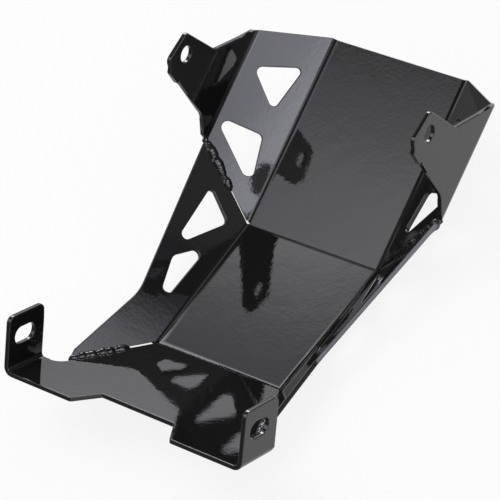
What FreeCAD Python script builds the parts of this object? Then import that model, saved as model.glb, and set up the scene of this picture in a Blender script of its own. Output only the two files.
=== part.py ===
import FreeCAD, Part
import math
import os

# Skid plate for a small motorcycle, folded from one laser-cut blank and welded along four seams.
# Millimetres. X is across, +Y points forward along the motorcycle, +Z is up.
# The origin is the middle of the underside of the flat middle panel, on the mirror plane.

# Sheet
sheet_thickness = 3.0

# Inner radii of the bends: wide ones between the panels and walls, tighter ones at the ears and tabs
panel_bend_radius = 7.0
ear_bend_radius = 5.0
tab_bend_radius = 3.0

# Middle panel, measured between the sharp fold lines of the inner face
middle_length = 105.0
rear_fold_half_width = 46.3
front_fold_half_width = 49.5

# Upper panel with its side walls
upper_rise_angle = 23.7
upper_length = 134.6
upper_wall_bend_angle = 37.6
upper_wall_top_setback = 17.7
ear_inner_half_width = 88.5

# Lower side walls
lower_wall_bend_angle = 48.2

# Rear panel with its tabs
rear_rise_angle = 29.0
rear_length = 100.4
wing_length = 31.9
wing_fillet_radius = 10.0
wing_fillet_clearance = 0.2
tab_inner_half_width = 85.6
tab_length = 32.6
tab_height = 35.4
tab_corner_radius = 4.4
notch_depth = 18.0
notch_mouth_half_width = 37.0
notch_floor_half_width = 26.6
notch_mouth_radius = 2.2
notch_floor_radius = 1.0

# Seams: a narrow slit from the fold corner outwards, with a small round inner end a little way out
# from the sharp corner, closed by a lumpy bead over its outer part
upper_seam_gap = 1.0
rear_seam_gap = 1.7
upper_slit_end_radius = 0.8
rear_slit_end_radius = 1.1
slit_end_reach = 1.9
weld_radius = 2.8
weld_pitch = 2.8
weld_swell = 0.1
weld_swell_step = 2.4
upper_weld_start = 28.5
upper_weld_end_margin = 2.1
rear_weld_start = 24.5
rear_weld_end_margin = 1.4

# Mounting holes: round in the ears, long in the tabs
mounting_hole_diameter = 11.0
ear_hole_forward = 28.9
ear_hole_height = 112.4
slot_length = 18.4
slot_centre_from_edge = 15.1
slot_centre_height = 20.6

# Free edge of the lower wall: the knee, along and up the wall's inner face from the rear fold corner,
# then the corner above the rear seam, along and up from the seam's end. Each carries its rounding radius.
lower_wall_knee = (17.2, 29.9, 38.0)
lower_wall_rear_corner = (7.2, 1.8, 3.0)
lower_wall_rear_overhang = 0.6
lower_wall_front_margin = 1.0

# Outline of the ear on its inner face, as forward and up from the front fold of the inner face,
# with the rounding radius of each corner. The shoulder is given along and up from the ear's top end.
# The ear starts and ends a little further in than the rim of the wall below it.
ear_start_inset = 1.9
ear_end_inset = 2.5
ear_shoulder = (-10.5, 14.0, 40.0)
ear_outline = (
    (26.6, 60.5, 14.0),
    (16.3, 98.4, 0.5),
    (16.0, 102.0, 0.4),
    (14.3, 99.6, 0.4),
    (10.9, 111.9, 1.0),
    (12.9, 114.6, 2.0),
    (13.3, 120.8, 4.5),
    (34.9, 125.8, 3.5),
    (54.2, 93.8, 7.0),
)

# Weight-saving cut-outs along and up the inner face of each wall, with the rounding radius of each corner.
# Along is counted from the front fold corner on the upper wall and from the side fold's middle on the lower.
upper_cutout_front = ((94.5, 41.0, 4.0), (108.4, 10.7, 2.8), (73.7, 17.5, 3.2))
upper_cutout_rear = ((54.9, 50.7, 4.4), (56.5, 16.5, 3.8), (30.8, 11.1, 2.6), (26.7, 15.4, 4.5))
lower_cutout_front = ((54.1, 34.9, 2.8), (43.1, 11.8, 3.8), (3.7, 31.0, 3.4))
lower_cutout_rear = ((-1.5, 27.1, 7.0), (21.8, 11.9, 3.6), (-22.4, 13.4, 3.2), (-24.8, 19.4, 3.0))

# How far a cutter stands clear of the sheet, the reach of a trimming block,
# and how far a fold is made too long before its ends are trimmed
cutter_clearance = 6.0
trim_reach = 60.0
fold_overlength = 4.0


def vec(x, y, z):
    return FreeCAD.Vector(x, y, z)


def unit(v):
    return vec(v.x, v.y, v.z) * (1.0 / v.Length)


class Panel:
    # A flat of the folded sheet: its inner face is the plane through the origin,
    # the normal points into the hollow and the metal lies on the other side
    def __init__(self, origin, along, up, normal):
        self.origin = origin
        self.along = along
        self.up = up
        self.normal = normal

    def point(self, u, v, w=0.0):
        return self.origin + self.along * u + self.up * v + self.normal * w

    def place(self, p):
        d = p - self.origin
        return d.dot(self.along), d.dot(self.up)

    def prism(self, corners, low, high):
        points = [self.point(c[0], c[1], low) for c in corners]
        radii = [c[2] if len(c) > 2 else 0.0 for c in corners]
        return Part.Face(rounded_wire(points, radii)).extrude(self.normal * (high - low))

    def plate(self, corners):
        return self.prism(corners, -sheet_thickness, 0.0)

    def cutter(self, corners):
        return self.prism(corners, -sheet_thickness - cutter_clearance, cutter_clearance)

    def drill(self, u, v, radius):
        depth = sheet_thickness + 2.0 * cutter_clearance
        return Part.makeCylinder(radius, depth, self.point(u, v, cutter_clearance), self.normal * -1.0)


def rounded_wire(points, radii):
    # Closed wire through the corners, with an arc at each corner that has a radius
    count = len(points)
    starts = []
    middles = []
    ends = []
    for i in range(count):
        corner = points[i]
        to_last = unit(points[i - 1] - corner)
        to_next = unit(points[(i + 1) % count] - corner)
        if radii[i] <= 0.0:
            starts.append(corner)
            middles.append(None)
            ends.append(corner)
            continue
        half = to_last.getAngle(to_next) / 2.0
        reach = radii[i] / math.tan(half)
        inward = unit(to_last + to_next)
        centre = corner + inward * (radii[i] / math.sin(half))
        starts.append(corner + to_last * reach)
        middles.append(centre - inward * radii[i])
        ends.append(corner + to_next * reach)
    edges = []
    for i in range(count):
        following = (i + 1) % count
        if middles[i] is not None:
            edges.append(Part.Arc(starts[i], middles[i], ends[i]).toShape())
        edges.append(Part.makeLine(ends[i], starts[following]))
    return Part.Wire(edges)


def block_beyond(point, direction):
    # Block that fills the space past a plane
    block = Part.makeBox(2.0 * trim_reach, 2.0 * trim_reach, trim_reach, vec(-trim_reach, -trim_reach, 0))
    block.Placement = FreeCAD.Placement(point, FreeCAD.Rotation(vec(0, 0, 1), direction))
    return block


def fold(point, run, radius, first_normal, second_normal, first_ends, second_ends):
    # Bend between two flats that meet in a sharp line through the point, with its inner radius.
    # The ends say where it starts and stops along the line, on the first flat and on the second.
    middle = unit(first_normal + second_normal)
    half = first_normal.getAngle(second_normal) / 2.0
    centre = point + middle * (radius / math.cos(half))
    outer_radius = radius + sheet_thickness
    inner = [centre - n * radius for n in (first_normal, middle, second_normal)]
    outer = [centre - n * outer_radius for n in (first_normal, middle, second_normal)]
    wire = Part.Wire([
        Part.Arc(inner[0], inner[1], inner[2]).toShape(),
        Part.makeLine(inner[2], outer[2]),
        Part.Arc(outer[2], outer[1], outer[0]).toShape(),
        Part.makeLine(outer[0], inner[0]),
    ])
    low = min(first_ends[0], second_ends[0]) - fold_overlength
    high = max(first_ends[1], second_ends[1]) + fold_overlength
    face = Part.Face(wire)
    face.translate(run * low)
    bend = face.extrude(run * (high - low))
    for end, outward in ((0, run * -1.0), (1, run)):
        first = inner[0] + run * first_ends[end]
        second = inner[2] + run * second_ends[end]
        direction = unit((second - first).cross(middle))
        if direction.dot(outward) < 0.0:
            direction = direction * -1.0
        bend = bend.cut(block_beyond(first, direction))
    return bend


def setback(radius, angle):
    # Distance from a sharp fold line to the start of the flat
    return radius * math.tan(angle / 2.0)


def lumpy_bead(start, direction, length):
    # Weld bead: a row of overlapping round lumps on one axis
    count = int(round(length / weld_pitch)) + 1
    step = length / (count - 1)
    radii = [weld_radius + weld_swell * math.sin(weld_swell_step * k) for k in range(count)]
    side = unit(direction.cross(vec(0, 0, 1)))
    profile = []
    here = (-radii[0], 0.0)
    for k in range(count):
        centre = k * step
        if k + 1 < count:
            reach = (step * step + radii[k] ** 2 - radii[k + 1] ** 2) / (2.0 * step)
            there = (centre + reach, math.sqrt(radii[k] ** 2 - reach ** 2))
        else:
            there = (centre + radii[k], 0.0)
        middle_angle = (math.atan2(here[1], here[0] - centre) + math.atan2(there[1], there[0] - centre)) / 2.0
        top = (centre + radii[k] * math.cos(middle_angle), radii[k] * math.sin(middle_angle))
        points = [start + direction * p[0] + side * p[1] for p in (here, top, there)]
        profile.append(Part.Arc(points[0], points[1], points[2]).toShape())
        here = there
    first = start + direction * -radii[0]
    last = start + direction * here[0]
    profile.append(Part.makeLine(last, first))
    return Part.Face(Part.Wire(profile)).revolve(start, direction, 360.0)


# Directions of the panels
across = vec(1, 0, 0)
ahead = vec(0, 1, 0)
upward = vec(0, 0, 1)
upper_rise = math.radians(upper_rise_angle)
rear_rise = math.radians(rear_rise_angle)
lower_bend = math.radians(lower_wall_bend_angle)
upper_bend = math.radians(upper_wall_bend_angle)
ear_bend = math.pi / 2.0 - upper_bend
tab_bend = math.pi / 2.0

upper_along = vec(0, math.cos(upper_rise), math.sin(upper_rise))
upper_normal = vec(0, -math.sin(upper_rise), math.cos(upper_rise))
rear_along = vec(0, -math.cos(rear_rise), math.sin(rear_rise))
rear_normal = vec(0, math.sin(rear_rise), math.cos(rear_rise))

# Setbacks of the folds
front_setback = setback(panel_bend_radius, upper_rise)
rear_setback = setback(panel_bend_radius, rear_rise)
lower_setback = setback(panel_bend_radius, lower_bend)
upper_setback = setback(panel_bend_radius, upper_bend)
ear_setback = setback(ear_bend_radius, ear_bend)
tab_setback = setback(tab_bend_radius, tab_bend)

# Corners where three folds meet, on the inner face and right-hand side
rear_fold = vec(0, -middle_length / 2.0, sheet_thickness)
front_fold = vec(0, middle_length / 2.0, sheet_thickness)
rear_corner = rear_fold + across * rear_fold_half_width
front_corner = front_fold + across * front_fold_half_width

# Flats
middle = Panel(rear_fold, ahead, across, upward)
upper = Panel(front_fold, upper_along, across, upper_normal)
rear = Panel(rear_fold, rear_along, across, rear_normal)

side_run = unit(front_corner - rear_corner)
side_length = (front_corner - rear_corner).Length
side_out = unit(side_run.cross(upward))
lower_up = side_out * math.cos(lower_bend) + upward * math.sin(lower_bend)
lower_normal = upward * math.cos(lower_bend) - side_out * math.sin(lower_bend)
lower_wall = Panel(rear_corner, side_run, lower_up, lower_normal)

upper_up = across * math.cos(upper_bend) + upper_normal * math.sin(upper_bend)
upper_wall_normal = upper_normal * math.cos(upper_bend) - across * math.sin(upper_bend)
upper_wall = Panel(front_corner, upper_along, upper_up, upper_wall_normal)
upper_wall_width = (ear_inner_half_width - front_fold_half_width) / math.cos(upper_bend)

ear = Panel(upper_wall.point(0, upper_wall_width), upper_along, upper_normal, across * -1.0)
tab = Panel(rear_fold + across * tab_inner_half_width, rear_along, rear_normal, across * -1.0)

# Seams, each from a fold corner outwards
upper_seam = unit(lower_normal.cross(upper_wall_normal))
if upper_seam.dot(across) < 0.0:
    upper_seam = upper_seam * -1.0
rear_seam = unit(lower_normal.cross(rear_normal))
if rear_seam.dot(across) < 0.0:
    rear_seam = rear_seam * -1.0


def seam_edge(seam, gap, panel, side, distance_up):
    # Place along a panel of the edge that runs beside a seam, half the gap away from it
    slope = seam.dot(panel.along) / seam.dot(panel.up)
    return slope * distance_up + side * gap / 2.0 * math.hypot(1.0, slope)


def wing_edge(distance_along):
    # Half width of the rear panel beside its seam
    slope = rear_seam.dot(across) / rear_seam.dot(rear_along)
    return rear_fold_half_width + slope * distance_along - rear_seam_gap / 2.0 * math.hypot(1.0, slope)


def shifted(corners, along, up):
    # Corners moved along and up a panel, with their radii kept
    return [(c[0] + along, c[1] + up) + tuple(c[2:]) for c in corners]


def mirrored_outline(right_half):
    # Closed outline from its right half, mirrored across the middle line
    left_half = [(c[0], -c[1]) + tuple(c[2:]) for c in reversed(right_half)]
    return right_half + left_half


# Middle panel
side_slope = (front_fold_half_width - rear_fold_half_width) / middle_length
side_inset = lower_setback * math.hypot(1.0, side_slope)
middle_rear_half = rear_fold_half_width + side_slope * rear_setback - side_inset
middle_front_half = front_fold_half_width - side_slope * front_setback - side_inset
middle_plate = middle.plate(mirrored_outline([
    (rear_setback, middle_rear_half),
    (middle_length - front_setback, middle_front_half),
]))

# Upper panel
upper_half_width = front_fold_half_width - upper_setback
upper_plate = upper.plate(mirrored_outline([
    (front_setback, upper_half_width),
    (upper_length, upper_half_width),
]))

# Rear panel with wings and notch
tab_front = rear_length - tab_length
wing_front = rear_length - wing_length
wing_seam_reach = wing_front - wing_fillet_radius - wing_fillet_clearance
wing_root = wing_edge(rear_setback)
wing_tip = wing_edge(wing_seam_reach)
tab_root = tab_inner_half_width - tab_setback
rear_plate = rear.plate(mirrored_outline([
    (rear_setback, wing_root),
    (wing_seam_reach, wing_tip),
    (wing_front, wing_tip, wing_fillet_radius),
    (wing_front, tab_root),
    (rear_length, tab_root),
    (rear_length, notch_mouth_half_width, notch_mouth_radius),
    (rear_length - notch_depth, notch_floor_half_width, notch_floor_radius),
]))

# Folds across the width, which run on to the sharp corners
front_ends = (-front_fold_half_width, front_fold_half_width)
front_bend = fold(front_fold, across, panel_bend_radius, upward, upper_normal, front_ends, front_ends)
rear_bend = fold(rear_fold, across, panel_bend_radius, upward, rear_normal,
                 (-rear_fold_half_width, rear_fold_half_width), (-wing_root, wing_root))

# Lower wall
rear_seam_length = wing_seam_reach / rear_seam.dot(rear_along)
rear_seam_rise = rear_seam_length * rear_seam.dot(lower_up)
upper_seam_length = (ear_inner_half_width - front_fold_half_width) / upper_seam.dot(across)
lower_front_rim = upper_seam_length * upper_seam.dot(lower_up) - lower_wall_front_margin
lower_rear_rim = rear_seam_rise + lower_wall_rear_overhang
lower_rear_root = seam_edge(rear_seam, rear_seam_gap, lower_wall, 1.0, lower_setback)
lower_front_root = side_length + seam_edge(upper_seam, upper_seam_gap, lower_wall, -1.0, lower_setback)
lower_plate = lower_wall.plate([
    (lower_rear_root, lower_setback),
    (lower_front_root, lower_setback),
    (side_length + seam_edge(upper_seam, upper_seam_gap, lower_wall, -1.0, lower_front_rim), lower_front_rim),
    lower_wall_knee,
] + shifted([lower_wall_rear_corner], rear_seam_length * rear_seam.dot(side_run), rear_seam_rise) + [
    (seam_edge(rear_seam, rear_seam_gap, lower_wall, 1.0, lower_rear_rim), lower_rear_rim),
])
for outline in (lower_cutout_front, lower_cutout_rear):
    lower_plate = lower_plate.cut(lower_wall.cutter(shifted(outline, side_length / 2.0, 0.0)))
lower_fold = fold(rear_corner, side_run, panel_bend_radius, upward, lower_normal,
                  (0.0, side_length), (lower_rear_root, lower_front_root))

# Upper wall
upper_root = seam_edge(upper_seam, upper_seam_gap, upper_wall, 1.0, upper_setback)
upper_rim = upper_wall_width - ear_setback
upper_rim_start = seam_edge(upper_seam, upper_seam_gap, upper_wall, 1.0, upper_rim)
upper_rim_end = upper_length - upper_wall_top_setback * upper_rim / upper_wall_width
upper_wall_plate = upper_wall.plate([
    (upper_root, upper_setback),
    (upper_rim_start, upper_rim),
    (upper_rim_end, upper_rim),
    (upper_length, upper_setback),
])
upper_fold = fold(front_corner, upper_along, panel_bend_radius, upper_normal, upper_wall_normal,
                  (0.0, upper_length), (upper_root, upper_length))
for outline in (upper_cutout_front, upper_cutout_rear):
    upper_wall_plate = upper_wall_plate.cut(upper_wall.cutter(outline))

# Ear with its round hole
ear_start = upper_rim_start + ear_start_inset
ear_end = upper_rim_end - ear_end_inset
ear_corners = [(ear_start, ear_setback)]
for corner in ear_outline:
    place = ear.place(front_fold + ahead * corner[0] + upward * corner[1])
    ear_corners.append((place[0], place[1], corner[2]))
ear_corners += shifted([ear_shoulder], ear_end, 0.0)
ear_corners.append((ear_end, ear_setback))
ear_hole = ear.place(front_fold + ahead * ear_hole_forward + upward * ear_hole_height)
ear_plate = ear.plate(ear_corners).cut(ear.drill(ear_hole[0], ear_hole[1], mounting_hole_diameter / 2.0))
ear_fold = fold(ear.origin, upper_along, ear_bend_radius, upper_wall_normal, ear.normal,
                (upper_rim_start, upper_rim_end), (ear_start, ear_end))

# Tab with its long hole
slot_radius = mounting_hole_diameter / 2.0
slot_centre_along = rear_length - slot_centre_from_edge
slot_straight = slot_length / 2.0 - slot_radius
tab_plate = tab.plate([
    (tab_front, tab_setback),
    (rear_length, tab_setback),
    (rear_length, tab_height, tab_corner_radius),
    (tab_front, tab_height, tab_corner_radius),
])
slot_low = slot_centre_height - slot_radius
slot_high = slot_centre_height + slot_radius
slot_cutter = tab.cutter([
    (slot_centre_along - slot_straight, slot_low),
    (slot_centre_along + slot_straight, slot_low),
    (slot_centre_along + slot_straight, slot_high),
    (slot_centre_along - slot_straight, slot_high),
])
for end in (-slot_straight, slot_straight):
    slot_cutter = slot_cutter.fuse(tab.drill(slot_centre_along + end, slot_centre_height, slot_radius))
tab_plate = tab_plate.cut(slot_cutter)
tab_fold = fold(tab.origin, rear_along, tab_bend_radius, rear_normal, tab.normal,
                (wing_front, rear_length), (tab_front, rear_length))


def seam_centre(corner, first_normal, second_normal):
    # Where a seam line lies in the middle of the sheet's thickness
    total = first_normal + second_normal
    return corner - total * (sheet_thickness / 2.0 / (1.0 + first_normal.dot(second_normal)))


# Beads in the outer part of each seam
upper_weld_corner = seam_centre(front_corner, lower_normal, upper_wall_normal)
upper_weld_length = upper_seam_length - upper_weld_end_margin - upper_weld_start
upper_bead = lumpy_bead(upper_weld_corner + upper_seam * upper_weld_start, upper_seam, upper_weld_length)
rear_weld_corner = seam_centre(rear_corner, lower_normal, rear_normal)
rear_weld_length = rear_seam_length - rear_weld_end_margin - rear_weld_start
rear_bead = lumpy_bead(rear_weld_corner + rear_seam * rear_weld_start, rear_seam, rear_weld_length)

# Round inner ends of the slits
slit_ends = []
for corner, seam, other_normal, end_radius in (
        (front_corner, upper_seam, upper_wall_normal, upper_slit_end_radius),
        (rear_corner, rear_seam, rear_normal, rear_slit_end_radius)):
    axis = unit(lower_normal + other_normal)
    top = corner + seam * slit_end_reach + axis * cutter_clearance
    depth = sheet_thickness + 2.0 * cutter_clearance
    slit_ends.append(Part.makeCylinder(end_radius, depth, top, axis * -1.0))

# Join everything into one solid, from the middle outwards
right_side = [lower_fold, lower_plate, upper_fold, upper_wall_plate, ear_fold, ear_plate, tab_fold, tab_plate]
mirror_point = vec(0, 0, 0)
left_side = [shape.mirror(mirror_point, across) for shape in right_side]
sheet = middle_plate
for shape in [front_bend, rear_bend, upper_plate, rear_plate] + right_side + left_side:
    sheet = sheet.fuse(shape)
for slit_end in slit_ends:
    sheet = sheet.cut(slit_end).cut(slit_end.mirror(mirror_point, across))
sheet = sheet.removeSplitter()
skid_plate = sheet.multiFuse([upper_bead, rear_bead, upper_bead.mirror(mirror_point, across),
                              rear_bead.mirror(mirror_point, across)])
if len(skid_plate.Solids) == 1:
    skid_plate = skid_plate.Solids[0]

os.makedirs("parts", exist_ok=True)
skid_plate.exportStep("parts/skid_plate.step")
print("solids", len(skid_plate.Solids), "valid", skid_plate.isValid(), "volume", skid_plate.Volume)
print("box", skid_plate.BoundBox)
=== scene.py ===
import math
import bmesh
import bpy
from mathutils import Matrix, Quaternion, Vector
from mathutils.geometry import intersect_point_line


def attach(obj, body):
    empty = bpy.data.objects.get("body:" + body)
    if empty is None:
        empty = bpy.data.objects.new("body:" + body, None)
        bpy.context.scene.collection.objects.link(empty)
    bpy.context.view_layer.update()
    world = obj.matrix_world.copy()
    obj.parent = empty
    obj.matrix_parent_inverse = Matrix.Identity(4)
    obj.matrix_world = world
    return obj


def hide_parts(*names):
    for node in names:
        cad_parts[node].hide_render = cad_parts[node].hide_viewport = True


# Folded and welded skid plate in gloss black powder coat, on a white studio floor.
# Metres throughout. X is across, +Y forward, +Z up, and the flat middle panel rests on z = 0.

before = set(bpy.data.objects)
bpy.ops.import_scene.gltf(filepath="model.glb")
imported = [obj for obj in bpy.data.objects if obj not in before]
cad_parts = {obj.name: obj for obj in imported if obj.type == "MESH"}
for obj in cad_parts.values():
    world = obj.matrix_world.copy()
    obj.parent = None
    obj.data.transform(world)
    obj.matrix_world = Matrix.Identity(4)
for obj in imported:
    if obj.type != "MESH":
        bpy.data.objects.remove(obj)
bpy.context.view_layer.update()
scene = bpy.context.scene


def linkObject(name, data):
    made = bpy.data.objects.new(name, data)
    scene.collection.objects.link(made)
    return made


def onSide(place, side):
    # places are given on the right: side 1 keeps one there, and side -1 mirrors it to the left
    return (side * place[0], place[1], place[2])


def addNode(tree, kind, place, inputs=None, **values):
    # each input is joined to another node's output, or set to a plain value
    node = tree.nodes.new(kind)
    node.location = place
    for key, value in values.items():
        setattr(node, key, value)
    for key, value in (inputs or {}).items():
        if isinstance(value, bpy.types.NodeSocket):
            tree.links.new(value, node.inputs[key])
        else:
            node.inputs[key].default_value = value
    return node


def addMath(tree, operation, place, *terms):
    node = addNode(tree, "ShaderNodeMath", place, dict(enumerate(terms)), operation=operation)
    return node.outputs["Value"]


def addVectorMath(tree, operation, place, *terms, result="Vector"):
    node = addNode(tree, "ShaderNodeVectorMath", place, dict(enumerate(terms)), operation=operation)
    return node.outputs[result]


# Finishes

coat = {
    "colour": (0.0085, 0.0085, 0.009, 1.0),
    "ior": 1.5,
    "roughness": 0.03,
    # the gloss isn't quite even, it has slightly duller clouds: the noise where it is glossiest and
    # where it is dullest, and the shares of the roughness there
    "cloudScale": 28.0,
    "cloudDetail": 4.0,
    "cloudNoise": (0.3, 0.7),
    "cloudShare": (0.8, 1.25),
    # bumps in the coat: scale of the noise, its depth in metres, and how much finer detail it has.
    # Rolling and folding leave the slow waves in the flats
    "bumps": {
        "slowWaves": (70.0, 0.00004, 2.0),
        "orangePeel": (420.0, 0.000016, 1.5),
        "specks": (2600.0, 0.0000025, 1.0),
    },
    "depthOnWelds": 0.6,       # share of the bumps' depth that is left on the weld beads
}


def coatMaterial(name, settings, depthShare):
    material = bpy.data.materials.new(name)
    material.use_nodes = True
    tree = material.node_tree
    shader = tree.nodes["Principled BSDF"]
    shader.inputs["Base Color"].default_value = settings["colour"]
    shader.inputs["IOR"].default_value = settings["ior"]
    shader.inputs["Metallic"].default_value = 0.0
    spot = addNode(tree, "ShaderNodeTexCoord", (-1300, 0)).outputs["Object"]
    cloud = addNode(tree, "ShaderNodeTexNoise", (-1000, 300), {
        "Vector": spot, "Scale": settings["cloudScale"], "Detail": settings["cloudDetail"]})
    glossiest, dullest = (settings["roughness"] * share for share in settings["cloudShare"])
    dull = addNode(tree, "ShaderNodeMapRange", (-760, 300), {
        "Value": cloud.outputs["Fac"], "From Min": settings["cloudNoise"][0],
        "From Max": settings["cloudNoise"][1], "To Min": glossiest, "To Max": dullest})
    tree.links.new(dull.outputs["Result"], shader.inputs["Roughness"])
    # each kind of unevenness is a bump of its real depth, laid over the one before
    below = {}
    for step, (scale, depth, detail) in enumerate(settings["bumps"].values()):
        height = -100 - 260 * step
        noise = addNode(tree, "ShaderNodeTexNoise", (-1000, height), {
            "Vector": spot, "Scale": scale, "Detail": detail})
        bump = addNode(tree, "ShaderNodeBump", (-700, height), {
            "Strength": 1.0, "Distance": depth * depthShare, "Height": noise.outputs["Fac"], **below})
        below = {"Normal": bump.outputs["Normal"]}
    tree.links.new(below["Normal"], shader.inputs["Normal"])
    return material


sheetCoat = coatMaterial("blackCoatOnSheet", coat, 1.0)
weldCoat = coatMaterial("blackCoatOnWelds", coat, coat["depthOnWelds"])
print("finishes made")


# The folded sheet, with its laser-cut edges eased as the coat rounds them

sheet = {
    "mergeWithin": 0.000002,   # points closer than this become one
    "flatWithin": 0.4,         # degrees, faces that turn less than this become one
    "easedEdge": 0.0006,       # rounding of the cut edges
    "easedSteps": 3,
    "sharpFrom": 50.0,         # degrees, only corners sharper than this are eased
    "creaseFrom": 35.0,        # degrees, a corner sharper than this stays a crease in the shading
    "planeWithin": 0.00001,    # how far a point of a flat may lie off its plane
    "wideField": 0.0002,       # square metres, a flat at least this big keeps its own direction to its rim
    # where the metal is too narrow for easing, on the right, and how far around each place that goes
    "narrow": {
        "rearSlitEnd": ((0.047, -0.054, 0.003), 0.0058),
        "upperSlitEnd": ((0.0507, 0.0532, 0.003), 0.0058),
        "earTooth": ((0.09, 0.068, 0.103), 0.003),
        "earFoldFront": ((0.089, 0.1455, 0.078), 0.0045),
        "earFoldRear": ((0.09, 0.0755, 0.0485), 0.002),
        "tabFoldFrontTop": ((0.0865, -0.1108, 0.0385), 0.0025),
        "tabFoldFrontFoot": ((0.0826, -0.1135, 0.0350), 0.002),
    },
    # middle lines of the solid's plain weld lumps, on the right. The lumps are drawn in to a thin core
    # under the rippled beads
    "beadLines": {
        "upperWeld": ((0.0670, 0.0624, 0.0200), (0.0895, 0.0756, 0.0447)),
        "rearWeld": ((0.0550, -0.0703, 0.0112), (0.0711, -0.1048, 0.0303)),
    },
    "beadReach": 0.0032,       # how far from its middle line a point counts as a lump's
    "beadCore": 0.0022,        # radius of the core
}


def inPlane(face, normal, through, settings):
    return all(abs(normal.dot(vert.co - through)) < settings["planeWithin"] for vert in face.verts)


def flatFields(work, settings):
    # each face's flat field: faces that touch and lie in one plane, whatever their own thin shapes say
    fieldOf, fields = {}, []
    for seed in sorted(work.faces, key=lambda face: -face.calc_area()):
        if seed in fieldOf:
            continue
        normal, through = seed.normal.copy(), seed.verts[0].co.copy()
        fieldOf[seed] = len(fields)
        waiting, area = [seed], 0.0
        while waiting:
            face = waiting.pop()
            area += face.calc_area()
            for edge in face.edges:
                for other in edge.link_faces:
                    if other not in fieldOf and inPlane(other, normal, through, settings):
                        fieldOf[other] = len(fields)
                        waiting.append(other)
        fields.append((normal, area))
    return fieldOf, fields


def cornerTurn(edge, fieldOf, fields):
    # how far the surface turns over an edge, in degrees, above zero on an outward corner
    first, second = (fields[fieldOf[face]][0] for face in edge.link_faces)
    loop = edge.link_faces[0].loops[0]
    while loop.edge != edge:
        loop = loop.link_loop_next
    along = loop.link_loop_next.vert.co - loop.vert.co
    turn = math.degrees(first.angle(second, 0.0))
    return turn if first.cross(second).dot(along) > 0 else -turn


def isNarrow(point, settings):
    # the left half is as narrow as the right
    onRight = Vector((abs(point.x), point.y, point.z))
    return any((onRight - Vector(spot)).length < reach for spot, reach in settings["narrow"].values())


def slimBeads(work, fieldOf, fields, settings):
    # the plain lumps drawn in to a thin core, so that only the rippled beads show
    for vert in work.verts:
        if any(fields[fieldOf[face]][1] > settings["wideField"] for face in vert.link_faces):
            continue
        side = -1.0 if vert.co.x < 0 else 1.0
        for line in settings["beadLines"].values():
            start, end = (Vector(onSide(place, side)) for place in line)
            nearest, share = intersect_point_line(vert.co, start, end)
            away = vert.co - nearest
            if 0.0 < share < 1.0 and settings["beadCore"] < away.length < settings["beadReach"]:
                vert.co = nearest + away.normalized() * settings["beadCore"]


def easedSheet(name, node, settings):
    mesh = bpy.data.meshes.new(name)
    work = bmesh.new()
    work.from_mesh(node.data)
    bmesh.ops.remove_doubles(work, verts=work.verts, dist=settings["mergeWithin"])
    bmesh.ops.dissolve_limit(work, angle_limit=math.radians(settings["flatWithin"]),
                             verts=work.verts, edges=work.edges)
    bmesh.ops.dissolve_degenerate(work, dist=settings["mergeWithin"], edges=work.edges)
    weights = work.edges.layers.float.new("bevel_weight_edge")
    fieldOf, fields = flatFields(work, settings)
    for edge in work.edges:
        edge.smooth = True
        if len(edge.link_faces) == 2:
            turn = cornerTurn(edge, fieldOf, fields)
            if turn > settings["sharpFrom"] and not any(isNarrow(vert.co, settings) for vert in edge.verts):
                edge[weights] = 1.0
            elif abs(turn) > settings["creaseFrom"]:
                edge.smooth = False
    for face in work.faces:
        face.smooth = True
    slimBeads(work, fieldOf, fields, settings)
    work.to_mesh(mesh)
    work.free()
    piece = linkObject(name, mesh)
    bevel = piece.modifiers.new("easedEdges", "BEVEL")
    bevel.limit_method = "WEIGHT"
    bevel.width = settings["easedEdge"]
    bevel.segments = settings["easedSteps"]
    bevel.use_clamp_overlap = False
    bevel.loop_slide = False
    return piece


def madePlain(piece):
    # the evaluated shape as a plain mesh, with no modifier left
    bpy.context.view_layer.update()
    graph = bpy.context.evaluated_depsgraph_get()
    plain = bpy.data.meshes.new_from_object(piece.evaluated_get(graph), depsgraph=graph)
    piece.modifiers.clear()
    piece.data = plain
    return piece


def smoothFans(vert):
    # the faces around a point, in groups that are parted by creases
    left = list(vert.link_faces)
    while left:
        fan, waiting = [], [left.pop()]
        while waiting:
            face = waiting.pop()
            fan.append(face)
            for edge in face.edges:
                if vert in edge.verts and edge.smooth:
                    for other in edge.link_faces:
                        if other in left:
                            left.remove(other)
                            waiting.append(other)
        yield fan


def shadeFlat(mesh, settings):
    # flats stay flat up to the folds, and the folds turn evenly between them
    work = bmesh.new()
    work.from_mesh(mesh)
    fieldOf, fields = flatFields(work, settings)
    normals = [Vector((0, 0, 1))] * len(mesh.loops)
    for vert in work.verts:
        for fan in smoothFans(vert):
            widest = max(fan, key=lambda face: fields[fieldOf[face]][1])
            normal, area = fields[fieldOf[widest]]
            if area <= settings["wideField"]:
                normal = sum((face.normal * face.calc_area() for face in fan), Vector())
                normal = normal.normalized() if normal.length > 0 else widest.normal.copy()
            for face in fan:
                for loop in face.loops:
                    if loop.vert == vert:
                        normals[loop.index] = normal
    work.free()
    # every edge marked, so that each corner keeps the direction found for it
    mesh.edges.foreach_set("use_edge_sharp", [True] * len(mesh.edges))
    mesh.normals_split_custom_set(normals)


foldedSheet = madePlain(easedSheet("foldedSheet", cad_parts["skid_plate"], sheet))
shadeFlat(foldedSheet.data, sheet)
foldedSheet.data.materials.clear()
foldedSheet.data.materials.append(sheetCoat)
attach(foldedSheet, "root")
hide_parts("skid_plate")
print("folded sheet made", len(foldedSheet.data.polygons), "faces")


# Weld beads: overlapping ripples of metal along the outer part of each seam

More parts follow.
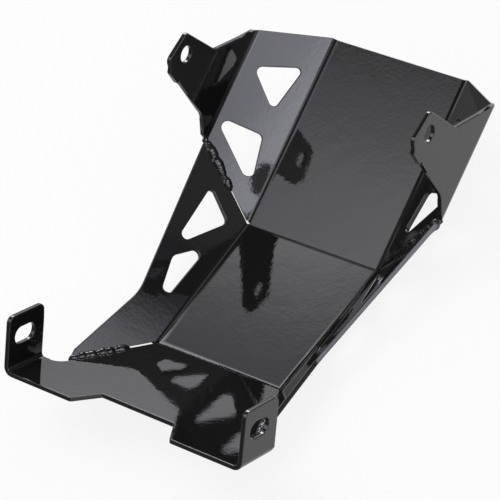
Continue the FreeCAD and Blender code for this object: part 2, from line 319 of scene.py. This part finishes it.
weld = {
    # on the right: the start near the fold corner, the end near the rim, and the ripples' thickness
    "seams": {
        "upperWeld": ((0.0684, 0.0632, 0.0215), (0.0862, 0.0736, 0.0411), 0.0042),
        "rearWeld": ((0.0562, -0.0728, 0.0126), (0.0697, -0.1018, 0.0287), 0.0044),
    },
    "seeds": {"upperWeldRight": 4, "upperWeldLeft": 3, "rearWeldRight": 11, "rearWeldLeft": 10},
    # what all beads share, by the names of the tree's inputs
    "shared": {
        "Ripple Spacing": 0.0011,
        "Bead Radius": 0.0030,
        "Swell": 2.0,          # how much the bead's width changes along it
        "Swell Scale": 150.0,  # and how fast
        "Wander": 0.0003,      # how far a ripple strays from the seam's line
        "Tilt": 28.0,          # degrees, the ripples lean as the torch moved
        "Grain": 0.00022,      # finest size kept when the ripples melt together
    },
    "swellDetail": 1.0,
    "ballSteps": 3,            # how finely the ball of a single ripple is divided
    "skinGrains": 2.0,         # how many grains deep the melted metal is worked out
    "skinDensity": 0.1,        # and the density at which its skin lies
}


def weldTree(material, settings):
    tree = bpy.data.node_groups.new("weldRipples", "GeometryNodeTree")
    kinds = {"Start": "Vector", "End": "Vector", "Seed": "Int"}
    for label in ("Start", "End", "Seed", "Ripple Thickness", *settings["shared"]):
        socket = "NodeSocket" + kinds.get(label, "Float")
        tree.interface.new_socket(label, in_out="INPUT", socket_type=socket)
    tree.interface.new_socket("Bead", in_out="OUTPUT", socket_type="NodeSocketGeometry")
    given = addNode(tree, "NodeGroupInput", (-1600, 0)).outputs
    # a row of places along the seam, each straying a little from its line
    line = addNode(tree, "GeometryNodeCurvePrimitiveLine", (-1300, 200), {
        "Start": given["Start"], "End": given["End"]})
    places = addNode(tree, "GeometryNodeCurveToPoints", (-1100, 200), {
        "Curve": line.outputs["Curve"], "Length": given["Ripple Spacing"]}, mode="LENGTH")
    stray = addNode(tree, "FunctionNodeRandomValue", (-1100, -100), {
        0: (-1, -1, -1), 1: (1, 1, 1), "Seed": given["Seed"]}, data_type="FLOAT_VECTOR")
    strayBy = addNode(tree, "ShaderNodeVectorMath", (-900, -100), {
        0: stray.outputs[0], "Scale": given["Wander"]}, operation="SCALE")
    moved = addNode(tree, "GeometryNodeSetPosition", (-850, 200), {
        "Geometry": places.outputs["Points"], "Offset": strayBy.outputs["Vector"]})
    # slow swelling of the bead, one lump every few ripples
    swelling = addNode(tree, "ShaderNodeTexNoise", (-1100, -400), {
        "W": given["Seed"], "Scale": given["Swell Scale"], "Detail": settings["swellDetail"]},
        noise_dimensions="4D")
    centred = addMath(tree, "SUBTRACT", (-900, -400), swelling.outputs["Fac"], 0.5)
    swollen = addMath(tree, "MULTIPLY_ADD", (-720, -400), centred, given["Swell"], 1.0)
    radius = addMath(tree, "MULTIPLY", (-540, -400), swollen, given["Bead Radius"])
    size = addNode(tree, "ShaderNodeCombineXYZ", (-360, -300), {
        "X": radius, "Y": radius, "Z": given["Ripple Thickness"]})
    # a flattened ball for each ripple, leaning over
    ball = addNode(tree, "GeometryNodeMeshIcoSphere", (-700, 0), {
        "Radius": 1.0, "Subdivisions": settings["ballSteps"]})
    lean = addMath(tree, "RADIANS", (-900, -250), given["Tilt"])
    leaning = addNode(tree, "FunctionNodeAxisAngleToRotation", (-700, -180), {
        "Axis": (1, 0, 0), "Angle": lean})
    turned = addNode(tree, "FunctionNodeRotateRotation", (-500, -100), {
        "Rotation": places.outputs["Rotation"], "Rotate By": leaning.outputs["Rotation"]},
        rotation_space="LOCAL")
    row = addNode(tree, "GeometryNodeInstanceOnPoints", (-150, 200), {
        "Points": moved.outputs["Geometry"], "Instance": ball.outputs["Mesh"],
        "Rotation": turned.outputs["Rotation"], "Scale": size.outputs["Vector"]})
    joined = addNode(tree, "GeometryNodeRealizeInstances", (50, 200), {"Geometry": row.outputs["Instances"]})
    # the ripples melt together
    depth = addMath(tree, "MULTIPLY", (50, -50), given["Grain"], settings["skinGrains"])
    molten = addNode(tree, "GeometryNodeMeshToVolume", (250, 200), {
        "Mesh": joined.outputs["Geometry"], "Voxel Size": given["Grain"], "Interior Band Width": depth},
        resolution_mode="VOXEL_SIZE")
    skin = addNode(tree, "GeometryNodeVolumeToMesh", (450, 200), {
        "Volume": molten.outputs["Volume"], "Threshold": settings["skinDensity"]})
    smooth = addNode(tree, "GeometryNodeSetShadeSmooth", (650, 200), {"Geometry": skin.outputs["Mesh"]})
    real = addNode(tree, "GeometryNodeRealizeInstances", (850, 200), {"Geometry": smooth.outputs["Geometry"]})
    finish = addNode(tree, "GeometryNodeSetMaterial", (1050, 200), {
        "Geometry": real.outputs["Geometry"], "Material": material})
    addNode(tree, "NodeGroupOutput", (1250, 200), {"Bead": finish.outputs["Geometry"]})
    return tree


def setInput(modifier, label, value):
    for item in modifier.node_group.interface.items_tree:
        if item.item_type == "SOCKET" and item.in_out == "INPUT" and item.name == label:
            modifier[item.identifier] = value
            return
    raise KeyError(label)


def makeWeld(name, tree, given):
    piece = linkObject(name, bpy.data.meshes.new(name))
    ripples = piece.modifiers.new("ripples", "NODES")
    ripples.node_group = tree
    for label, value in given.items():
        setInput(ripples, label, value)
    madePlain(piece)
    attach(piece, "root")
    return piece


rippleTree = weldTree(weldCoat, weld)
for seam, (start, end, thickness) in weld["seams"].items():
    for side, word in ((1, "Right"), (-1, "Left")):
        bead = makeWeld(seam + word, rippleTree, {
            "Start": onSide(start, side), "End": onSide(end, side), "Ripple Thickness": thickness,
            "Seed": weld["seeds"][seam + word], **weld["shared"]})
        print(bead.name, len(bead.data.polygons), "faces")
print("welds made")


# Camera, at the photograph's viewing angle

view = {
    "place": (0.86223, -0.81227, 1.27654),
    "aim": (-0.005938, 0.005967, 0.046453),
    "roll": -17.168,           # degrees
    "lens": 201.086,           # millimetres, as the sensor's width is
    "sensorWidth": 36.0,
    "clip": (0.05, 50.0),
}


def makeCamera(settings):
    data = bpy.data.cameras.new("studioCamera")
    data.lens = settings["lens"]
    data.sensor_width = settings["sensorWidth"]
    data.clip_start, data.clip_end = settings["clip"]
    camera = linkObject("studioCamera", data)
    look = Vector(settings["aim"]) - Vector(settings["place"])
    level = look.to_track_quat("-Z", "Y")
    camera.rotation_mode = "QUATERNION"
    camera.rotation_quaternion = level @ Quaternion((0, 0, 1), math.radians(settings["roll"]))
    camera.location = settings["place"]
    scene.camera = camera


makeCamera(view)
print("camera set")


# Studio: a white floor and a white room. The camera sees both plain, and the gloss sees them shaded

studio = {
    "floorSize": 6.0,
    "floorColour": (0.86, 0.86, 0.86, 1.0),
    "floorLift": 0.86,         # how much of the seen floor is its own white, without shadow
    # the gloss sees the floor dim on the left: how bright there, and the places across where the
    # dimming begins and where it is full
    "floorDim": 0.07,
    "floorDimFrom": -0.05,
    "floorDimFull": -0.25,
    # and dark in the part's own shadow, which fades between two shares of its reach
    "shadowSeen": 0.08,
    "shadowMiddle": (0.0, 0.017, 0.0),
    "shadowReach": (0.085, 0.15, 1.0),
    "shadowCore": 0.85,
    "shadowRim": 1.1,
    "mattLight": 0.7,          # light of the room on matt surfaces
    # brightness that the gloss sees low down and overhead, and the rise of the look direction between
    "horizonSeen": 1.0,
    "ceilingSeen": 0.06,
    "ceilingFrom": 0.22,
    "ceilingFull": 0.5,
    # the dim end of the room, and how squarely a look has to face it
    "darkSide": (-0.52, -0.854, 0.0),
    "darkSideSeen": 0.12,
    "darkSideFrom": 0.35,
    "darkSideFull": 0.8,
}


def seenRays(tree):
    # whether a ray is mirrored, and whether it is one that shows the picture: a camera, mirror or
    # see-through ray, and not light that falls on matt surfaces
    rays = addNode(tree, "ShaderNodeLightPath", (-1000, 300)).outputs
    either = addMath(tree, "MAXIMUM", (-800, 300), rays["Is Camera Ray"], rays["Is Glossy Ray"])
    seen = addMath(tree, "MAXIMUM", (-620, 300), either, rays["Is Transmission Ray"])
    return rays["Is Glossy Ray"], seen


def softStep(tree, place, value, start, end, low, high):
    step = addNode(tree, "ShaderNodeMapRange", place, {
        "Value": value, "From Min": start, "From Max": end, "To Min": low, "To Max": high},
        interpolation_type="SMOOTHSTEP")
    return step.outputs["Result"]


def emptyMaterial(name):
    material = bpy.data.materials.new(name)
    material.use_nodes = True
    material.node_tree.nodes.clear()
    return material


def objectPlace(tree, place):
    # the place on an object, and its three parts
    spot = addNode(tree, "ShaderNodeTexCoord", place).outputs["Object"]
    parts = addNode(tree, "ShaderNodeSeparateXYZ", (place[0] + 200, place[1]), {"Vector": spot})
    return spot, parts.outputs


def makeFloor(settings):
    half = settings["floorSize"] / 2
    mesh = bpy.data.meshes.new("studioFloor")
    corners = [(-half, -half, 0), (half, -half, 0), (half, half, 0), (-half, half, 0)]
    mesh.from_pydata(corners, [], [(0, 1, 2, 3)])
    floor = linkObject("studioFloor", mesh)
    material = emptyMaterial("whitePaper")
    tree = material.node_tree
    mirrored, seen = seenRays(tree)
    spot, parts = objectPlace(tree, (-1400, -300))
    leftDim = softStep(tree, (-1000, -300), parts["X"], settings["floorDimFull"], settings["floorDimFrom"],
                       settings["floorDim"], 1.0)
    fromMiddle = addVectorMath(tree, "SUBTRACT", (-1400, -550), spot, settings["shadowMiddle"])
    asShare = addVectorMath(tree, "DIVIDE", (-1200, -550), fromMiddle, settings["shadowReach"])
    distance = addVectorMath(tree, "LENGTH", (-1000, -550), asShare, result="Value")
    shadow = softStep(tree, (-900, -550), distance, settings["shadowCore"], settings["shadowRim"],
                      settings["shadowSeen"], 1.0)
    dimmed = addMath(tree, "MULTIPLY", (-850, -400), leftDim, shadow)
    strength = addNode(tree, "ShaderNodeMix", (-800, -300), {
        "Factor": mirrored, "A": 1.0, "B": dimmed}, data_type="FLOAT")
    paper = addNode(tree, "ShaderNodeBsdfDiffuse", (-400, 100), {"Color": settings["floorColour"]})
    glow = addNode(tree, "ShaderNodeEmission", (-400, -100), {"Strength": strength.outputs["Result"]})
    amount = addMath(tree, "MULTIPLY", (-440, 300), seen, settings["floorLift"])
    mix = addNode(tree, "ShaderNodeMixShader", (-150, 0), {
        "Fac": amount, 1: paper.outputs["BSDF"], 2: glow.outputs["Emission"]})
    addNode(tree, "ShaderNodeOutputMaterial", (50, 0), {"Surface": mix.outputs["Shader"]})
    mesh.materials.append(material)


def makeRoom(settings):
    world = bpy.data.worlds.new("whiteStudio")
    scene.world = world
    world.use_nodes = True
    tree = world.node_tree
    tree.nodes.clear()
    mirrored, seen = seenRays(tree)
    look = addNode(tree, "ShaderNodeTexCoord", (-1400, -200)).outputs["Generated"]
    parts = addNode(tree, "ShaderNodeSeparateXYZ", (-1200, -200), {"Vector": look}).outputs
    ceiling = softStep(tree, (-1000, -200), parts["Z"], settings["ceilingFrom"], settings["ceilingFull"],
                       settings["horizonSeen"], settings["ceilingSeen"])
    towards = addVectorMath(tree, "DOT_PRODUCT", (-1200, -450), look, settings["darkSide"], result="Value")
    darkSide = softStep(tree, (-1000, -450), towards, settings["darkSideFrom"], settings["darkSideFull"],
                        1.0, settings["darkSideSeen"])
    shaded = addMath(tree, "MULTIPLY", (-780, -300), ceiling, darkSide)
    strength = addNode(tree, "ShaderNodeMix", (-580, -300), {
        "Factor": mirrored, "A": 1.0, "B": shaded}, data_type="FLOAT")
    white = (1, 1, 1, 1)
    matt = addNode(tree, "ShaderNodeBackground", (-400, 100), {
        "Color": white, "Strength": settings["mattLight"]})
    shown = addNode(tree, "ShaderNodeBackground", (-400, -100), {
        "Color": white, "Strength": strength.outputs["Result"]})
    mix = addNode(tree, "ShaderNodeMixShader", (-150, 0), {
        "Fac": seen, 1: matt.outputs["Background"], 2: shown.outputs["Background"]})
    addNode(tree, "ShaderNodeOutputWorld", (50, 0), {"Surface": mix.outputs["Shader"]})


makeFloor(studio)
makeRoom(studio)
print("floor and room made")


# Lamps, which light the matt surfaces and don't show in the gloss

lamps = {
    "topSoftbox": {
        "place": (-0.5, -0.3, 1.7),
        "aim": (0.0, 0.0, 0.0),
        "width": 1.1,
        "height": 1.1,
        "light": 0.34,         # brightness of a white surface that faces it at the aim
    },
}


def makeLamp(name, settings):
    look = Vector(settings["aim"]) - Vector(settings["place"])
    data = bpy.data.lights.new(name, "AREA")
    data.shape = "RECTANGLE"
    data.size = settings["width"]
    data.size_y = settings["height"]
    data.energy = settings["light"] * math.pi * math.pi * look.length ** 2
    lamp = linkObject(name, data)
    lamp.location = settings["place"]
    lamp.rotation_mode = "QUATERNION"
    lamp.rotation_quaternion = look.to_track_quat("-Z", "Y")
    lamp.visible_glossy = False


for name, settings in lamps.items():
    makeLamp(name, settings)
print("lamps made")


# Screens that only the gloss shows: a card on the right, two dark flags, and a big sweep overhead

card = {
    "tint": (0.955, 0.965, 1.07, 1.0),
    "corners": ((0.66, -0.6, 0.2), (0.66, -0.6, 0.98), (0.66, 0.5, 0.98), (0.66, 0.5, 0.2)),
    # brightness at places along each axis, multiplied
    "ramps": {
        "Z": ((0.2, 1.5), (0.44, 3.0), (0.6, 4.4), (0.74, 6.0), (0.777, 5.8), (0.82, 4.6), (0.85, 3.7),
              (0.98, 3.2)),
        "Y": ((-0.6, 0.6), (-0.08, 0.9), (0.06, 1.1), (0.3, 1.1), (0.36, 0.8), (0.375, 0.72), (0.405, 0.38),
              (0.43, 0.14), (0.5, 0.05)),
    },
}

flags = {
    "tint": (0.985, 0.985, 1.03, 1.0),
    "brightness": 0.5,
    "across": 0.1,             # both stand beside the right ear, where the gloss of the left wall sees them
    # forward and up, around their ragged outlines
    "outlines": {
        "earFlag": ((0.0382, 0.1767), (0.0421, 0.1854), (0.0493, 0.19), (0.0567, 0.191),
                    (0.0627, 0.1865), (0.064, 0.179), (0.053, 0.171), (0.043, 0.167)),
        "cornerFlag": ((0.022, 0.168), (0.030, 0.166), (0.030, 0.156), (0.016, 0.150)),
    },
}

sweep = {
    "tint": (0.985, 0.985, 1.03, 1.0),
    "radius": 5.0,
    "reach": (-12.0, 14.0),    # how far it goes to the left and the right
    "turn": (-4.0, 150.0),     # degrees up from straight ahead, where it starts and ends
    "steps": 77,
    # it is lit from behind in soft fields, each with its brightness by the angle up from straight ahead,
    # in degrees, times its brightness by the slope to the side
    "fields": {
        "farSoftbox": {
            "angle": ((-4, 1.1), (2, 1.2), (4, 1.4), (10, 2.2), (15.5, 5.0), (21.8, 9.5), (27, 15.0),
                      (33, 16.5), (38.9, 12.0), (44.5, 6.5), (50, 3.0), (56, 0.8), (62, 0)),
            "side": ((-2.3, 0.1), (-1.8, 0.3), (-1.63, 0.14), (-1.36, 0.12), (-1.09, 0.16), (-0.84, 0.35),
                     (-0.68, 0.9), (-0.6, 1.0), (-0.45, 1.0), (-0.35, 0.8), (-0.2, 0.06), (0, 0.02),
                     (1.2, 0.03), (2.8, 0.03)),
        },
        "leftCeiling": {
            "angle": ((44, 0), (50, 1.0), (55.75, 1.4), (56.75, 1.2), (57.75, 0.85), (58.75, 0.72),
                      (59.75, 0.72), (62, 0.8), (67.6, 0.66), (77.3, 0.27), (86.7, 0.05), (95, 0)),
            "side": ((-2.3, 0.1), (-1.36, 0.4), (-1.09, 0.6), (-0.84, 0.8), (-0.62, 1.0), (-0.54, 1.0),
                     (-0.5, 0.5), (-0.34, 0.14), (-0.18, 0.04), (0, 0.03), (2.8, 0.03)),
        },
        "topStrip": {
            "angle": ((50, 0), (54, 0.8), (62, 0.8), (66, 0)),
            "side": ((0.14, 0), (0.25, 0.8), (0.42, 1.0), (0.52, 0)),
        },
        "leftBehind": {
            "angle": ((95, 0), (96, 0.7), (97.25, 1.15), (98.75, 1.5), (100.25, 2.05), (102.25, 2.25),
                      (104, 2.5), (125, 2.5), (150, 0.5)),
            "side": ((-2.3, 0.035), (-1.76, 0.12), (-1.33, 0.35), (-1.04, 0.6), (-0.81, 0.75), (-0.61, 0.9),
                     (-0.55, 1.05), (-0.5, 1.2), (-0.35, 1.35), (-0.215, 1.15), (-0.08, 0.45), (0.05, 0.06),
                     (0.18, 0.02), (0.31, 0.2), (0.46, 0.85), (0.62, 1.5), (0.81, 1.8), (2.8, 1.8)),
        },
    },
}


def glowingScreen(name, vertices, faces, tint, brightness):
    # its brightness is a number, or a function that adds nodes to a tree and returns their output
    mesh = bpy.data.meshes.new(name)
    mesh.from_pydata(vertices, [], faces)
    screen = linkObject(name, mesh)
    material = emptyMaterial(name)
    tree = material.node_tree
    strength = brightness(tree) if callable(brightness) else brightness
    glow = addNode(tree, "ShaderNodeEmission", (400, 0), {"Color": tint, "Strength": strength})
    addNode(tree, "ShaderNodeOutputMaterial", (600, 0), {"Surface": glow.outputs["Emission"]})
    mesh.materials.append(material)
    screen.visible_camera = False
    screen.visible_diffuse = False
    screen.visible_shadow = False


def rampAlong(tree, place, value, stops):
    # brightness along one measure, straight between the stops
    first, last = stops[0][0], stops[-1][0]
    top = max(bright for _, bright in stops)
    along = addNode(tree, "ShaderNodeMapRange", place, {"Value": value, "From Min": first, "From Max": last})
    ramp = addNode(tree, "ShaderNodeValToRGB", (place[0] + 200, place[1]), {"Fac": along.outputs["Result"]})
    elements = ramp.color_ramp.elements
    while len(elements) < len(stops):
        elements.new(0.5)      # put in its own place below
    for element, (at, bright) in zip(elements, stops):
        element.position = (at - first) / (last - first)
        grey = bright / top
        element.color = (grey, grey, grey, 1)
    return addMath(tree, "MULTIPLY", (place[0] + 480, place[1]), ramp.outputs["Color"], top)


def makeCard(name, settings):
    def brightness(tree):
        _, parts = objectPlace(tree, (-1500, 0))
        along = [rampAlong(tree, (-900, 300 - 400 * step), parts[axis], stops)
                 for step, (axis, stops) in enumerate(settings["ramps"].items())]
        return addMath(tree, "MULTIPLY", (200, 0), *along)

    glowingScreen(name, settings["corners"], [(0, 1, 2, 3)], settings["tint"], brightness)


def makeFlags(settings):
    for name, outline in settings["outlines"].items():
        vertices = [(settings["across"], forward, up) for forward, up in outline]
        face = tuple(range(len(outline)))
        glowingScreen(name, vertices, [face], settings["tint"], settings["brightness"])


def makeSweep(name, settings):
    # it arches about the left-right line through the part
    radius, steps = settings["radius"], settings["steps"]
    firstAngle, lastAngle = settings["turn"]
    vertices = []
    for step in range(steps + 1):
        angle = math.radians(firstAngle + (lastAngle - firstAngle) * step / steps)
        for across in settings["reach"]:
            vertices.append((across, radius * math.cos(angle), radius * math.sin(angle)))
    faces = [(2 * step, 2 * step + 1, 2 * step + 3, 2 * step + 2) for step in range(steps)]

    def brightness(tree):
        _, parts = objectPlace(tree, (-1500, 0))
        turn = addMath(tree, "ARCTAN2", (-1100, 300), parts["Z"], parts["Y"])
        angle = addMath(tree, "MULTIPLY", (-1000, 300), turn, math.degrees(1))
        slope = addMath(tree, "DIVIDE", (-1100, -300), parts["X"], radius)
        total = None
        for step, field in enumerate(settings["fields"].values()):
            byAngle = rampAlong(tree, (-800, 600 - 800 * step), angle, field["angle"])
            bySide = rampAlong(tree, (-800, 200 - 800 * step), slope, field["side"])
            light = addMath(tree, "MULTIPLY", (-100, 300 - 800 * step), byAngle, bySide)
            total = addMath(tree, "ADD", (100, 300 - 400 * step), total, light) if total else light
        return total

    glowingScreen(name, vertices, faces, settings["tint"], brightness)


makeCard("rightCard", card)
makeFlags(flags)
makeSweep("lightSweep", sweep)
scene.view_settings.view_transform = "Standard"
print("studio made")
